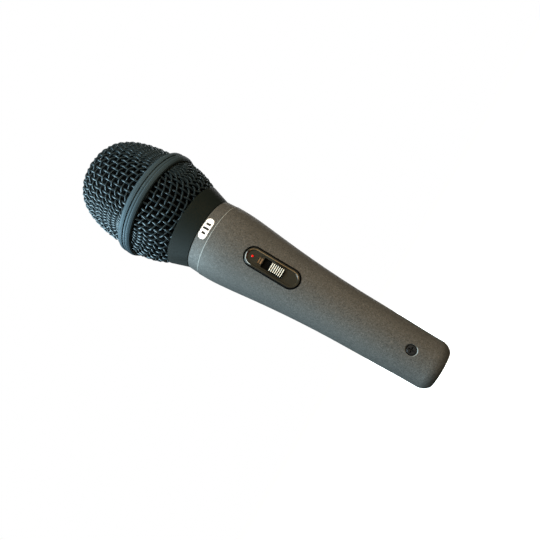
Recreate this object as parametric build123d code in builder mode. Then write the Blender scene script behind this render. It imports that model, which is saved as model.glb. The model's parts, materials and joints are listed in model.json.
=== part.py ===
from build123d import *
import math
import os

os.makedirs("parts", exist_ok=True)

# A handheld dynamic vocal microphone that stands on its tail. +Z runs along its axis towards the
# head, the origin is the centre of the tail's end, and the switch faces -Y. All sizes are in mm.

# ------------------------------------------------------------------ driving dimensions

# handle
tail_mouth_radius = 8.15
tail_rim_radius = 8.5
tail_radius = 11.0
tail_round_height = 4.8
grip_radius = 17.2
grip_top_z = 109.1
label_band_z = 109.35
label_band_radius = 17.05
shoulder_radius = 16.8
shoulder_z = 114.6
thread_radius = 15.0
neck_top_z = 120.2
neck_bore = 13.6
edge_break = 0.25
bore_taper_z = 93.0
bore_waist_radius = 12.0
bore_waist_z = 75.0
bore_narrow_z = 57.0
bore_step_z = 29.0
tail_bore = 8.4
tail_bore_z = 25.0

# label, which lies in a shallow pocket on the label band
label_z = 112.3
label_length = 9.7
label_width = 3.6
label_floor = 15.9
label_proud = 0.03

# connector
socket_radius = 8.1
insert_radius = 8.9
insert_rim_z = 0.8
insert_floor_z = 13.2
insert_top_z = 21.0
pin_radius = 1.2
pin_circle = 4.0
pin_tip_z = 2.0
pin_tail_z = 26.0
insert_screw_z = 14.7
screw_seat_radius = 9.6
screw_hole_radius = 2.3
screw_head_radius = 2.1
screw_head_height = 1.3
screw_cross_length = 2.7
screw_cross_width = 0.65
pin_clearance = 0.05
keyway_width = 2.6
keyway_depth = 2.4
keyway_length = 9.2

# switch, in its own plane: local x runs up the handle and local z points outwards
switch_z = 79.9
switch_surface = 14.8
switch_slope = 6.1
plate_length = 25.8
plate_width = 8.1
plate_top = 0.15
plate_bottom = -1.05
plate_floor = -0.35
flange_bottom = -1.55
slot_length = 9.9
slot_width = 4.5
slot_centre = -0.35
peg_offset = 10.6
peg_radius = 0.7
knob_length = 5.7
knob_width = 3.85
knob_centre = -2.06
knob_top = 0.7
rib_pitch = 0.87
rib_count = 7
can_centre = -0.35
can_length = 18.0
can_width = 6.2
can_wall = 0.4
base_top = -5.9
base_bottom = -6.9
contact_pitch = 4.0
lug_end = -10.0
shutter_centre = -2.1
shutter_length = 13.4
shutter_height = 0.4
plate_gap = 0.4
plate_rim = 1.3
slot_recess_length = 14.0
slot_recess_width = 5.2
dot_offset = 9.55
dot_radius = 0.55
dot_depth = 0.4
rib_width = 0.46
rib_height = 0.35
actuator_length = 6.0
actuator_width = 4.9
actuator_bottom = -4.0
wiper_length = 5.2
wiper_width = 2.6
wiper_thickness = 0.3

# transformer
transformer_z = 47.5
core_width = 13.0
core_depth = 9.0
core_height = 15.0
core_leg = 4.0
core_window = 2.5
core_yoke = 2.0
transformer_bore = 9.4
winding_depth = 13.6
lead_notch_radius = 0.9

# leads, which pass the transformer's pads at four places
lead_radius = 0.45
lead_x = 3.0
lead_y = 5.8

# capsule
capsule_bottom_z = 108.0
capsule_neck_radius = 12.2
capsule_radius = 14.3
capsule_seat_z = 122.2
motor_z = 130.0
rim_seat_z = 141.6
capsule_rim_z = 145.0
capsule_top_z = 146.4
motor_radius = 11.0
coil_radius = 8.15
coil_bottom_z = 138.6
former_top_z = 142.4
dome_top_z = 144.3
film = 0.2
wire_build = 0.3
coil_winding_height = 2.7
terminal_hole_radius = 3.0
capsule_wall = 1.4
motor_ledge = 1.0
motor_ledge_radius = 9.8
cavity_radius = 12.9
cavity_floor_z = 123.6
rear_port_z = 126.3
rear_port_length = 6.4
rear_port_width = 3.0
rear_port_count = 8
felt_bore = 11.6
felt_height = 5.2
yoke_floor = 2.0
yoke_bore = 8.9
yoke_wall_height = 9.0
magnet_radius = 7.0
magnet_height = 6.4
pole_radius = 7.3
pole_height = 2.6
clamp_radius = 13.25
clamp_bore = 12.1
clamp_height = 1.1
screen_radius = 12.0
grid_hole_radius = 1.5

# grille
mesh_thickness = 1.7
liner_gap = 0.3
collar_bottom_z = 114.7
collar_top_z = 123.4
collar_radius = 19.5
mesh_seat_z = 122.4
mesh_foot_radius = 19.2
rear_foot_radius = 19.45
rear_waist_radius = 22.5
rear_waist_z = 130.3
rear_arc_top_z = 139.2
mesh_radius = 24.0
rear_mesh_top_z = 141.4
front_mesh_z = 144.2
dome_z = 146.0
dome_radius = 23.6
dome_height = 30.4
band_inner_radius = 22.3
band_radius = 25.4
liner_bore = 16.2
front_liner_thickness = 5.0


# ------------------------------------------------------------------ helpers

switch_angle = math.radians(switch_slope)
switch_plane = Plane(
    origin=(0, -switch_surface, switch_z),
    x_dir=(0, -math.sin(switch_angle), math.cos(switch_angle)),
    z_dir=(0, -math.cos(switch_angle), -math.sin(switch_angle)),
)
screw_plane = Plane(origin=(0, -screw_seat_radius, insert_screw_z), x_dir=(1, 0, 0), z_dir=(0, -1, 0))


def save(part, name):
    """Label a finished piece and write it to its own file."""
    part.label = name
    export_step(part, f"parts/{name}.step")


def dome_outline(inset):
    """Points on the ball grille's profile, moved inwards, from its widest place to its tip."""
    radius = dome_radius - inset
    height = dome_height - inset
    points = []
    for angle in (0, 12, 24, 36, 48, 60, 70, 78, 84):
        turn = math.radians(angle)
        points.append((radius * math.cos(turn) ** 0.525, dome_z + height * math.sin(turn) ** 1.045))
    points.append((0, dome_z + height))
    return points


def rear_outline(inset):
    """Three points on the rear mesh's profile, moved inwards along its slope."""
    foot = (rear_foot_radius - 0.9 * inset, collar_top_z + 0.44 * inset)
    middle = (rear_waist_radius - 0.93 * inset, rear_waist_z + 0.36 * inset)
    top = (mesh_radius - inset, rear_arc_top_z)
    return foot, middle, top


# ------------------------------------------------------------------ handle

barrel_points = [
    (tail_radius, tail_round_height),
    (11.4, 21.0),
    (12.2, 48.0),
    (13.05, 62.0),
    (15.3, 85.0),
    (16.85, 99.0),
    (grip_radius, 106.0),
]

with BuildPart() as badge:
    with BuildSketch(Plane.XZ):
        with BuildLine():
            Polyline(
                (0, label_band_z),
                (label_band_radius + label_proud, label_band_z),
                (shoulder_radius + label_proud, shoulder_z),
                (0, shoulder_z),
                close=True,
            )
        make_face()
    revolve(axis=Axis.Z)
    with BuildSketch(Plane.XZ.offset(label_floor)):
        with Locations((0, label_z)):
            SlotOverall(label_length, label_width)
    extrude(amount=3, mode=Mode.INTERSECT)
save(badge.part, "badge")

with BuildPart() as handle_shell:
    with BuildSketch(Plane.XZ):
        with BuildLine():
            TangentArc((tail_radius, tail_round_height), (tail_rim_radius, 0), tangent=(0, -1))
            barrel = Spline(*barrel_points, tangents=((0, 1), (0, 1)))
            Polyline(
                barrel @ 1,
                (grip_radius, grip_top_z),
                (label_band_radius, label_band_z),
                (shoulder_radius, shoulder_z - edge_break),
                (shoulder_radius - edge_break, shoulder_z),
                (thread_radius, shoulder_z),
                (thread_radius, neck_top_z - 0.4),
                (thread_radius - 0.4, neck_top_z),
                (neck_bore, neck_top_z),
                (neck_bore, bore_taper_z),
                (bore_waist_radius, bore_waist_z),
                (transformer_bore, bore_narrow_z),
                (transformer_bore, bore_step_z),
                (tail_bore, tail_bore_z),
                (tail_bore, insert_top_z),
                (insert_radius, insert_top_z),
                (insert_radius, insert_rim_z),
                (tail_mouth_radius, insert_rim_z),
                (tail_mouth_radius, 0),
                (tail_rim_radius, 0),
            )
        make_face()
    revolve(axis=Axis.Z)
    with BuildSketch(switch_plane.offset(flange_bottom)):
        SlotOverall(plate_length + 2 * plate_gap, plate_width + 2 * plate_gap)
    extrude(amount=5, mode=Mode.SUBTRACT)
    with BuildSketch(switch_plane.offset(flange_bottom)):
        with Locations((can_centre, 0)):
            RectangleRounded(can_length + 1.2, can_width + 0.6, 1.0)
    extrude(amount=-5, mode=Mode.SUBTRACT)
    with BuildSketch(screw_plane):
        Circle(screw_hole_radius)
    extrude(amount=3, mode=Mode.SUBTRACT)
    with BuildSketch(screw_plane.offset(1.2)):
        Circle(screw_hole_radius)
    extrude(amount=0.8, taper=-45, mode=Mode.SUBTRACT)
    with BuildSketch(screw_plane):
        Circle(pin_radius + pin_clearance)
    extrude(amount=-1.5, mode=Mode.SUBTRACT)
    with BuildSketch(Plane.XZ.offset(label_floor)):
        with Locations((0, label_z)):
            SlotOverall(label_length, label_width)
    extrude(amount=3, mode=Mode.SUBTRACT)
save(handle_shell.part, "handle_shell")


# ------------------------------------------------------------------ connector

with BuildPart() as xlr_insert:
    with BuildSketch(Plane.XZ):
        with BuildLine():
            Polyline(
                (socket_radius + edge_break, insert_rim_z),
                (insert_radius, insert_rim_z),
                (insert_radius, insert_top_z),
                (0, insert_top_z),
                (0, insert_floor_z),
                (socket_radius, insert_floor_z),
                (socket_radius, insert_rim_z + edge_break),
                close=True,
            )
        make_face()
    revolve(axis=Axis.Z)
    with BuildSketch(Plane.XY.offset(insert_floor_z)):
        with PolarLocations(pin_circle, 3, start_angle=180, angular_range=180, endpoint=True):
            Circle(pin_radius + pin_clearance)
    extrude(amount=insert_top_z - insert_floor_z, mode=Mode.SUBTRACT)
    with BuildSketch(Plane.XY.offset(insert_rim_z)):
        with Locations((0, insert_radius)):
            Rectangle(keyway_width, keyway_depth)
    extrude(amount=keyway_length, mode=Mode.SUBTRACT)
    with BuildSketch(screw_plane):
        Circle(pin_radius + pin_clearance)
    extrude(amount=-3.5, mode=Mode.SUBTRACT)
save(xlr_insert.part, "xlr_insert")


def make_contact_pin(name, angle):
    """One round contact: a domed tip in the socket and a hollow solder cup behind the insert."""
    centre = Plane((pin_circle * math.cos(angle), pin_circle * math.sin(angle), pin_tip_z))
    with BuildPart() as contact_pin:
        with BuildSketch(centre):
            Circle(pin_radius)
        extrude(amount=pin_tail_z - pin_tip_z)
        tip = contact_pin.edges().sort_by(Axis.Z)[0]
        fillet(tip, 0.9)
        with BuildSketch(centre.offset(pin_tail_z - pin_tip_z)):
            Circle(0.8)
        extrude(amount=-3.0, mode=Mode.SUBTRACT)
    save(contact_pin.part, name)


make_contact_pin("xlr_pin_1", math.pi)
make_contact_pin("xlr_pin_2", 0)
make_contact_pin("xlr_pin_3", -math.pi / 2)

with BuildPart() as ground_clip:
    with BuildSketch(Plane.XY.offset(insert_top_z)):
        with Locations((-pin_circle, 0)):
            Circle(2.1)
        with Locations((-6.2, 0)):
            Rectangle(4.2, 2.0)
        with Locations((-pin_circle, 0)):
            Circle(pin_radius, mode=Mode.SUBTRACT)
    extrude(amount=0.3)
    with BuildSketch(Plane.XY.offset(insert_top_z)):
        with Locations((-8.15, 0)):
            Rectangle(0.3, 2.0)
    extrude(amount=3.4)
save(ground_clip.part, "ground_clip")

with BuildPart() as insert_screw:
    with BuildSketch(screw_plane):
        Circle(screw_head_radius)
    extrude(amount=screw_head_height)
    fillet(insert_screw.edges().sort_by(Axis.Y)[0], 0.6)
    with BuildSketch(screw_plane):
        Circle(pin_radius)
    extrude(amount=-3.2)
    with BuildSketch(screw_plane.offset(screw_head_height)):
        Rectangle(screw_cross_length, screw_cross_width)
        Rectangle(screw_cross_width, screw_cross_length)
    extrude(amount=-0.8, taper=14, mode=Mode.SUBTRACT)
save(insert_screw.part, "insert_screw")


# ------------------------------------------------------------------ transformer

with BuildPart() as transformer_core:
    with BuildSketch(Plane.XZ.offset(-core_depth / 2)):
        with Locations((0, transformer_z)):
            Rectangle(core_width, core_height)
        with Locations((0, transformer_z)):
            with GridLocations(core_leg + core_window, 1, 2, 1):
                Rectangle(core_window, core_height - 2 * core_yoke, mode=Mode.SUBTRACT)
    extrude(amount=core_depth)
save(transformer_core.part, "transformer_core")

coil_height = core_height - 2 * core_yoke - 0.1

with BuildPart() as transformer_coil:
    with BuildSketch(Plane.XY.offset(transformer_z - coil_height / 2)):
        RectangleRounded(core_leg + 2 * core_window - 0.1, winding_depth, 1.5)
        Rectangle(core_leg, core_depth, mode=Mode.SUBTRACT)
    extrude(amount=coil_height)
save(transformer_coil.part, "transformer_coil")

pad_height = core_yoke - 0.1

with BuildPart() as transformer_pads:
    for pad_z in (transformer_z - core_height / 2, transformer_z + core_height / 2 - pad_height):
        with BuildSketch(Plane.XY.offset(pad_z)):
            Circle(transformer_bore)
            Rectangle(core_width, core_depth, mode=Mode.SUBTRACT)
            with GridLocations(2 * lead_x, 2 * lead_y, 2, 2):
                Circle(lead_notch_radius, mode=Mode.SUBTRACT)
        extrude(amount=pad_height)
save(transformer_pads.part, "transformer_pads")


# ------------------------------------------------------------------ switch

with BuildPart() as switch_plate:
    with BuildSketch(switch_plane.offset(plate_bottom)):
        SlotOverall(plate_length, plate_width)
    extrude(amount=plate_top - plate_bottom)
    fillet(switch_plate.faces().sort_by(Axis.Y)[0].edges(), 0.3)
    with BuildSketch(switch_plane.offset(plate_floor)):
        SlotOverall(plate_length - 2 * plate_rim, plate_width - 2 * plate_rim)
    extrude(amount=1, taper=-40, mode=Mode.SUBTRACT)
    with BuildSketch(switch_plane.offset(plate_floor - 0.2)):
        with Locations((slot_centre - 0.1, 0)):
            SlotOverall(slot_recess_length, slot_recess_width)
    extrude(amount=0.3, taper=-45, mode=Mode.SUBTRACT)
    with BuildSketch(switch_plane.offset(plate_bottom)):
        with Locations((slot_centre, 0)):
            RectangleRounded(slot_length, slot_width, 0.4)
    extrude(amount=2, mode=Mode.SUBTRACT)
    with BuildSketch(switch_plane.offset(plate_floor - dot_depth)):
        with Locations((dot_offset, 0)):
            Circle(dot_radius)
    extrude(amount=2, mode=Mode.SUBTRACT)
    with BuildSketch(switch_plane.offset(plate_bottom)):
        with GridLocations(2 * peg_offset, 1, 2, 1):
            Circle(peg_radius)
    extrude(amount=flange_bottom - plate_bottom)
save(switch_plate.part, "switch_plate")

with BuildPart() as index_dot:
    with BuildSketch(switch_plane.offset(plate_floor - dot_depth)):
        with Locations((dot_offset, 0)):
            Circle(dot_radius)
    extrude(amount=0.6)
    fillet(index_dot.edges().sort_by(Axis.Y)[0], 0.18)
save(index_dot.part, "index_dot")

with BuildPart() as switch_frame:
    with BuildSketch(switch_plane.offset(flange_bottom)):
        SlotOverall(plate_length, plate_width)
        with Locations((slot_centre, 0)):
            RectangleRounded(slot_length, slot_width, 0.4, mode=Mode.SUBTRACT)
        with GridLocations(2 * peg_offset, 1, 2, 1):
            Circle(peg_radius, mode=Mode.SUBTRACT)
    extrude(amount=plate_bottom - flange_bottom)
    with BuildSketch(switch_plane.offset(flange_bottom)):
        with Locations((can_centre, 0)):
            RectangleRounded(can_length, can_width, 0.6)
            Rectangle(can_length - 2 * can_wall, can_width - 2 * can_wall, mode=Mode.SUBTRACT)
    extrude(amount=base_bottom - flange_bottom)
save(switch_frame.part, "switch_frame")

with BuildPart() as switch_base:
    with BuildSketch(switch_plane.offset(base_bottom)):
        with Locations((can_centre, 0)):
            Rectangle(can_length - 2 * can_wall, can_width - 2 * can_wall)
        with GridLocations(contact_pitch, 1, 3, 1):
            Rectangle(0.5, 1.7, mode=Mode.SUBTRACT)
    extrude(amount=base_top - base_bottom)
save(switch_base.part, "switch_base")

with BuildPart() as switch_contacts:
    with BuildSketch(switch_plane.offset(base_top)):
        with GridLocations(contact_pitch, 1, 3, 1):
            Rectangle(2.4, 2.4)
    extrude(amount=0.3)
    with BuildSketch(switch_plane.offset(lug_end)):
        with GridLocations(contact_pitch, 1, 3, 1):
            Rectangle(0.4, 1.6)
    extrude(amount=base_top - lug_end)
save(switch_contacts.part, "switch_contacts")

actuator_top = flange_bottom - 0.2

with BuildPart() as thumb_slide:
    with BuildSketch(switch_plane.offset(actuator_top)):
        with Locations((knob_centre, 0)):
            RectangleRounded(knob_length, knob_width, 0.3)
    extrude(amount=knob_top - rib_height - actuator_top)
    with BuildSketch(switch_plane.offset(knob_top - rib_height)):
        with Locations((knob_centre, 0)):
            with GridLocations(rib_pitch, 1, rib_count, 1):
                Rectangle(rib_width, knob_width)
    extrude(amount=rib_height, taper=12)
save(thumb_slide.part, "thumb_slide")

with BuildPart() as switch_actuator:
    with BuildSketch(switch_plane.offset(actuator_bottom)):
        with Locations((knob_centre, 0)):
            Rectangle(actuator_length, actuator_width)
    extrude(amount=actuator_top - actuator_bottom)
    with BuildSketch(switch_plane.offset(actuator_top)):
        with Locations((shutter_centre, 0)):
            Rectangle(shutter_length, actuator_width)
    extrude(amount=-shutter_height)
save(switch_actuator.part, "switch_actuator")

with BuildPart() as switch_wiper:
    with BuildSketch(switch_plane.offset(actuator_bottom)):
        with Locations((knob_centre, 0)):
            Rectangle(wiper_length, wiper_width)
    extrude(amount=-wiper_thickness)
    with BuildSketch(switch_plane.offset(actuator_bottom - wiper_thickness)):
        with Locations((knob_centre, 0)):
            with GridLocations(contact_pitch - 0.1, 1, 2, 1):
                Circle(0.5)
    extrude(amount=-1.2, taper=10)
save(switch_wiper.part, "switch_wiper")


# ------------------------------------------------------------------ capsule

with BuildPart() as capsule_mount:
    with BuildSketch(Plane.XZ):
        with BuildLine():
            Polyline(
                (capsule_neck_radius, 109.5),
                (neck_bore, 109.5),
                (neck_bore, neck_top_z),
                (14.4, neck_top_z),
                (14.4, capsule_seat_z),
                (capsule_neck_radius, capsule_seat_z),
                close=True,
            )
        make_face()
    revolve(axis=Axis.Z)
save(capsule_mount.part, "capsule_mount")

with BuildPart() as capsule_housing:
    with BuildSketch(Plane.XZ):
        with BuildLine():
            Polyline(
                (terminal_hole_radius, capsule_bottom_z),
                (capsule_neck_radius, capsule_bottom_z),
                (capsule_neck_radius, capsule_seat_z),
                (capsule_radius, capsule_seat_z),
                (capsule_radius, capsule_rim_z),
                (13.3, capsule_rim_z),
                (13.3, rim_seat_z),
                (motor_radius, rim_seat_z),
                (motor_radius, motor_z),
                (motor_ledge_radius, motor_z),
                (motor_ledge_radius, motor_z - motor_ledge),
                (cavity_radius, motor_z - motor_ledge),
                (cavity_radius, cavity_floor_z),
                (motor_radius, cavity_floor_z),
                (motor_radius, capsule_bottom_z + capsule_wall),
                (terminal_hole_radius, capsule_bottom_z + capsule_wall),
                close=True,
            )
        make_face()
    revolve(axis=Axis.Z)
    for port in range(rear_port_count):
        with BuildSketch(Plane.YZ.rotated((0, 0, 360 / rear_port_count * port))):
            with Locations((0, rear_port_z)):
                SlotOverall(rear_port_length, rear_port_width)
        extrude(amount=20, mode=Mode.SUBTRACT)
save(capsule_housing.part, "capsule_housing")

with BuildPart() as rear_port_felt:
    with BuildSketch(Plane.XY.offset(cavity_floor_z + 0.1)):
        Circle(cavity_radius)
        Circle(felt_bore, mode=Mode.SUBTRACT)
    extrude(amount=felt_height)
save(rear_port_felt.part, "rear_port_felt")

with BuildPart() as magnet_yoke:
    with BuildSketch(Plane.XY.offset(motor_z)):
        Circle(motor_radius)
        with PolarLocations(5.0, 4):
            Circle(0.9, mode=Mode.SUBTRACT)
    extrude(amount=yoke_floor)
    with BuildSketch(Plane.XY.offset(motor_z + yoke_floor)):
        Circle(motor_radius)
        Circle(yoke_bore, mode=Mode.SUBTRACT)
    extrude(amount=yoke_wall_height)
save(magnet_yoke.part, "magnet_yoke")

with BuildPart() as magnet:
    with BuildSketch(Plane.XY.offset(motor_z + yoke_floor)):
        Circle(magnet_radius)
    extrude(amount=magnet_height)
save(magnet.part, "magnet")

with BuildPart() as pole_piece:
    with BuildSketch(Plane.XY.offset(motor_z + yoke_floor + magnet_height)):
        Circle(pole_radius)
    extrude(amount=pole_height)
save(pole_piece.part, "pole_piece")

with BuildPart() as coil_former:
    with BuildSketch(Plane.XY.offset(coil_bottom_z)):
        Circle(coil_radius)
        Circle(coil_radius - film, mode=Mode.SUBTRACT)
    extrude(amount=former_top_z - coil_bottom_z)
save(coil_former.part, "coil_former")

with BuildPart() as voice_coil:
    with BuildSketch(Plane.XY.offset(coil_bottom_z)):
        Circle(coil_radius + wire_build)
        Circle(coil_radius, mode=Mode.SUBTRACT)
    extrude(amount=coil_winding_height)
save(voice_coil.part, "voice_coil")

dome_rise = dome_top_z - former_top_z
dome_curve = (coil_radius**2 + dome_rise**2) / (2 * dome_rise)

with BuildPart() as diaphragm_dome:
    with Locations((0, 0, dome_top_z - dome_curve)):
        Sphere(dome_curve)
        Sphere(dome_curve - film, mode=Mode.SUBTRACT)
    with BuildSketch(Plane.XY.offset(former_top_z)):
        Circle(coil_radius)
    extrude(amount=dome_rise + 1, mode=Mode.INTERSECT)
save(diaphragm_dome.part, "diaphragm_dome")

rim_bottom_z = rim_seat_z + 0.02
rim_top_z = rim_bottom_z + film

with BuildPart() as diaphragm_surround:
    with BuildSketch(Plane.XZ):
        with BuildLine():
            Polyline(
                (coil_radius, former_top_z),
                (coil_radius, former_top_z - film),
                (12.0, rim_bottom_z),
                (13.2, rim_bottom_z),
                (13.2, rim_top_z),
                (12.0, rim_top_z),
                close=True,
            )
        make_face()
    revolve(axis=Axis.Z)
save(diaphragm_surround.part, "diaphragm_surround")

clamp_bottom_z = rim_top_z + 0.02

with BuildPart() as clamp_ring:
    with BuildSketch(Plane.XY.offset(clamp_bottom_z)):
        Circle(clamp_radius)
        Circle(clamp_bore, mode=Mode.SUBTRACT)
    extrude(amount=clamp_height)
save(clamp_ring.part, "clamp_ring")

with BuildPart() as capsule_front_grid:
    with BuildSketch(Plane.XY.offset(clamp_bottom_z + clamp_height)):
        Circle(clamp_radius)
        Circle(clamp_bore, mode=Mode.SUBTRACT)
    extrude(amount=capsule_rim_z - clamp_bottom_z - clamp_height)
    with BuildSketch(Plane.XY.offset(capsule_rim_z)):
        Circle(capsule_radius)
        Circle(1.6, mode=Mode.SUBTRACT)
        with PolarLocations(5.0, 6):
            Circle(grid_hole_radius, mode=Mode.SUBTRACT)
        with PolarLocations(9.4, 12):
            Circle(grid_hole_radius, mode=Mode.SUBTRACT)
    extrude(amount=capsule_top_z - capsule_rim_z)
save(capsule_front_grid.part, "capsule_front_grid")

with BuildPart() as capsule_screen:
    with BuildSketch(Plane.XY.offset(capsule_top_z)):
        Circle(screen_radius)
    extrude(amount=0.3)
save(capsule_screen.part, "capsule_screen")

terminal_z = capsule_bottom_z - 1.2
terminal_x = 2.5
terminal_y = 2.0
terminal_end_z = 103.6

with BuildPart() as terminal_board:
    with BuildSketch(Plane.XY.offset(terminal_z)):
        Circle(5.5)
    extrude(amount=capsule_bottom_z - terminal_z)
save(terminal_board.part, "terminal_board")

with BuildPart() as capsule_terminals:
    with BuildSketch(Plane.XY.offset(terminal_end_z)):
        with Locations((0, terminal_y)):
            with GridLocations(2 * terminal_x, 1, 2, 1):
                Rectangle(1.4, 1.0)
    extrude(amount=terminal_z - terminal_end_z)
save(capsule_terminals.part, "capsule_terminals")


# ------------------------------------------------------------------ leads


def bend_radii(points):
    """The largest arc at each corner that leaves a straight length between two corners."""
    corners = []
    for before, corner, after in zip(points, points[1:], points[2:]):
        arriving = Vector(*corner) - Vector(*before)
        leaving = Vector(*after) - Vector(*corner)
        half_turn = math.radians(arriving.get_angle(leaving)) / 2
        corners.append(0.45 * min(arriving.length, leaving.length) / math.tan(half_turn))
    return corners


def make_lead(name, points):
    """An insulated lead: a round section carried along straight runs joined by tangent arcs."""
    radii = bend_radii(points)
    with BuildPart() as lead:
        with BuildLine() as route:
            FilletPolyline(*points, radius=radii)
        with BuildSketch(Plane(origin=route.line @ 0, z_dir=route.line % 0)):
            Circle(lead_radius)
        sweep(path=route.line)
    full_volume = math.pi * lead_radius**2 * sum(edge.length for edge in route.edges())
    print(name, [round(radius, 1) for radius in radii], round(lead.part.volume / full_volume, 4))
    save(lead.part, name)


coil_top_z = transformer_z + coil_height / 2
coil_foot_z = transformer_z - coil_height / 2
switch_lug = (switch_plane * Pos(-contact_pitch, 0, lug_end)).position
switch_bend = (switch_plane * Pos(-contact_pitch, 0, lug_end - 3.4)).position
common_lug = (switch_plane * Pos(0, 0, lug_end)).position
common_bend = (switch_plane * Pos(0, 0, lug_end - 3.8)).position

for side, lead_name in ((1, "capsule_lead_red"), (-1, "capsule_lead_black")):
    make_lead(
        lead_name,
        [
            (side * terminal_x, terminal_y, terminal_end_z),
            (side * 2.7, 2.4, 93.0),
            (side * 3.9, 4.8, 80.0),
            (side * 3.6, 6.4, 68.0),
            (side * lead_x, lead_y, 60.0),
            (side * (lead_x + 0.02), lead_y, coil_top_z),
        ],
    )

make_lead(
    "switch_lead_yellow",
    [
        switch_lug,
        switch_bend,
        (1.0, -1.4, 71.0),
        (2.8, -5.0, 62.5),
        (lead_x, -lead_y, coil_top_z),
    ],
)

make_lead(
    "switch_lead_white",
    [
        common_lug,
        common_bend,
        (-1.6, -0.4, 77.0),
        (-2.3, -2.2, 70.5),
        (-2.9, -5.0, 63.5),
        (-lead_x, -lead_y, coil_top_z),
    ],
)

for lead_name, start, pin in (
    ("output_lead_red", (lead_x, lead_y), (pin_circle, 0)),
    ("output_lead_black", (-lead_x, lead_y), (-pin_circle, 0)),
    ("output_lead_blue", (lead_x, -lead_y), (0, -pin_circle)),
):
    make_lead(
        lead_name,
        [
            (start[0], start[1], coil_foot_z),
            (start[0], start[1], 37.5),
            (0.5 * (start[0] + pin[0]), 0.5 * (start[1] + pin[1]), 33.0),
            (pin[0], pin[1], 29.0),
            (pin[0], pin[1], 24.4),
        ],
    )


# ------------------------------------------------------------------ grille head

with BuildPart() as grille_collar:
    with BuildSketch(Plane.XZ):
        with BuildLine():
            Polyline(
                (shoulder_radius - edge_break, collar_bottom_z),
                (shoulder_radius, collar_bottom_z + edge_break),
                (collar_radius, collar_top_z - 0.1),
                (collar_radius - 0.1, collar_top_z),
                (mesh_foot_radius, collar_top_z),
                (mesh_foot_radius, mesh_seat_z),
                (mesh_foot_radius - mesh_thickness, mesh_seat_z),
                (16.4, neck_top_z + 0.4),
                (thread_radius + 0.05, neck_top_z + 0.4),
                (thread_radius + 0.05, collar_bottom_z),
                close=True,
            )
        make_face()
    revolve(axis=Axis.Z)
save(grille_collar.part, "grille_collar")

with BuildPart() as grille_rear_mesh:
    with BuildSketch(Plane.XZ):
        with BuildLine():
            foot, middle, top = rear_outline(0)
            inner_foot, inner_middle, inner_top = rear_outline(mesh_thickness)
            Polyline((mesh_foot_radius, mesh_seat_z), (mesh_foot_radius, collar_top_z), foot)
            ThreePointArc(foot, middle, top)
            Polyline(
                top,
                (mesh_radius, rear_mesh_top_z),
                (mesh_radius - mesh_thickness, rear_mesh_top_z),
                inner_top,
            )
            ThreePointArc(inner_top, inner_middle, inner_foot)
            Polyline(
                inner_foot,
                (mesh_foot_radius - mesh_thickness, mesh_seat_z),
                (mesh_foot_radius, mesh_seat_z),
            )
        make_face()
    revolve(axis=Axis.Z)
save(grille_rear_mesh.part, "grille_rear_mesh")

with BuildPart() as grille_band:
    with BuildSketch(Plane.XZ):
        with BuildLine():
            Polyline(
                (mesh_radius + 0.05, 139.5),
                (24.4, 139.5),
                (24.9, 139.8),
                (25.25, 140.5),
                (band_radius, 141.1),
                (25.2, 141.6),
                (band_radius, 142.1),
                (25.3, 142.7),
                (24.8, 142.85),
                (24.8, 143.3),
                (25.25, 143.45),
                (25.3, 144.4),
                (25.15, 145.2),
                (24.7, 145.75),
                (dome_radius + 0.05, 145.8),
                (dome_radius + 0.05, front_mesh_z),
                (band_inner_radius, front_mesh_z),
                (band_inner_radius, rear_mesh_top_z),
                (mesh_radius + 0.05, rear_mesh_top_z),
                close=True,
            )
        make_face()
    revolve(axis=Axis.Z)
save(grille_band.part, "grille_band")

with BuildPart() as grille_front_mesh:
    with BuildSketch(Plane.XZ):
        with BuildLine():
            outer = Spline(*dome_outline(0), tangents=((0, 1), (-1, 0)))
            inner = Spline(*dome_outline(mesh_thickness), tangents=((0, 1), (-1, 0)))
            Line(outer @ 1, inner @ 1)
            Polyline(
                inner @ 0,
                (dome_radius - mesh_thickness, front_mesh_z),
                (dome_radius, front_mesh_z),
                outer @ 0,
            )
        make_face()
    revolve(axis=Axis.Z)
save(grille_front_mesh.part, "grille_front_mesh")


# ------------------------------------------------------------------ foam liner

front_liner_inset = mesh_thickness + liner_gap
liner_split_z = 144.4

with BuildPart() as front_foam:
    with BuildSketch(Plane.XZ):
        with BuildLine():
            outer = Spline(*dome_outline(front_liner_inset), tangents=((0, 1), (-1, 0)))
            inner = Spline(
                *dome_outline(front_liner_inset + front_liner_thickness), tangents=((0, 1), (-1, 0))
            )
            Line(outer @ 1, inner @ 1)
            Polyline(
                inner @ 0,
                ((inner @ 0).X, liner_split_z),
                ((outer @ 0).X, liner_split_z),
                outer @ 0,
            )
        make_face()
    revolve(axis=Axis.Z)
save(front_foam.part, "front_foam")

with BuildPart() as rear_foam:
    with BuildSketch(Plane.XZ):
        with BuildLine():
            foot, middle, top = rear_outline(mesh_thickness + liner_gap)
            ThreePointArc(foot, middle, top)
            Polyline(
                top,
                (top[0], rear_mesh_top_z),
                (dome_radius - front_liner_inset, liner_split_z),
                (liner_bore, liner_split_z),
                (liner_bore, foot[1]),
                foot,
            )
        make_face()
    revolve(axis=Axis.Z)
save(rear_foam.part, "rear_foam")
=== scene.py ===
import json
import math

import bpy
import numpy as np
from mathutils import Matrix, Vector, noise


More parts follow.
